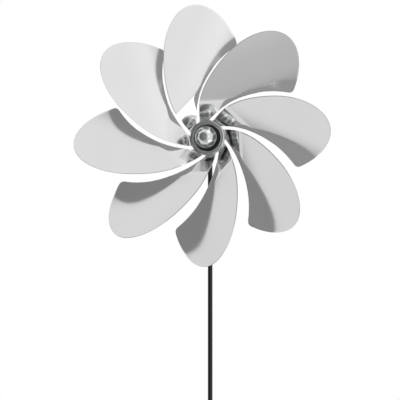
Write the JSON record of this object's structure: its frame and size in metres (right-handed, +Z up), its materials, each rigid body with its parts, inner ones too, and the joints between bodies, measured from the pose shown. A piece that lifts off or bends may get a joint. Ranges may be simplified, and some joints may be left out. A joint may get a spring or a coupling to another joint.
{
  "type": "garden windmill",
  "caption": "Garden windmill: flower-shaped stainless steel wheel with rolled wings on a ball bearing, on a thin black rod with a ground point.",
  "frame": {"origin": "on the rod's axis at soil level, where the ground holds the rod", "axes": "+Z up along the rod; the wheel faces -Y and its axis is parallel to Y; +X to the right seen from the front"},
  "size_m": [0.281, 0.0654, 1.2005],
  "materials": {
    "satin_steel": "satin stainless sheet, softly reflecting",
    "polished_steel": "mirror polished stainless",
    "bearing_steel": "ground bearing steel, lightly oiled",
    "fastener_steel": "stainless machine screws and nuts",
    "black_nylon": "moulded glass-filled nylon, fine grain",
    "black_lacquer": "semi-gloss black powder coat on steel",
    "black_oxide": "black oxide with oil"
  },
  "bodies": {
    "stand": {"rod_upper": "black_lacquer", "rod_sleeve": "black_lacquer", "rod_lower": "black_lacquer", "sleeve_screw_upper": "black_oxide", "sleeve_screw_lower": "black_oxide", "head_block": "black_nylon", "head_grub_screw": "black_oxide", "axle": "fastener_steel", "axle_nut": "fastener_steel", "nut_washer": "fastener_steel", "rear_spacer": "black_nylon", "front_spacer": "fastener_steel", "bearing_inner_ring": "bearing_steel", "polished_ball": "polished_steel"},
    "wheel": {"wheel_sheet": "satin_steel", "hub_front_ring": "satin_steel", "hub_body": "black_nylon", "bearing_clip": "black_oxide", "bearing_outer_ring": "bearing_steel", "bearing_front_shield": "bearing_steel", "bearing_rear_shield": "bearing_steel", "hub_screw_1": "fastener_steel", "hub_screw_2": "fastener_steel", "hub_screw_3": "fastener_steel", "hub_screw_4": "fastener_steel"},
    "ball_cage": {"bearing_ball_cage": "polished_steel"}
  },
  "joints": [
    {"name": "wheel_spin", "type": "hinge", "parent": "stand", "child": "wheel", "pos_m": [0, -0.0126, 0.86], "axis": [0, -1, 0], "continuous": true},
    {"name": "cage_orbit", "type": "hinge", "parent": "stand", "child": "ball_cage", "pos_m": [0, -0.0126, 0.86], "axis": [0, -1, 0], "continuous": true}
  ],
  "couplings": [
    {"joint": "cage_orbit", "follows": "wheel_spin", "ratio": 0.632}
  ]
}
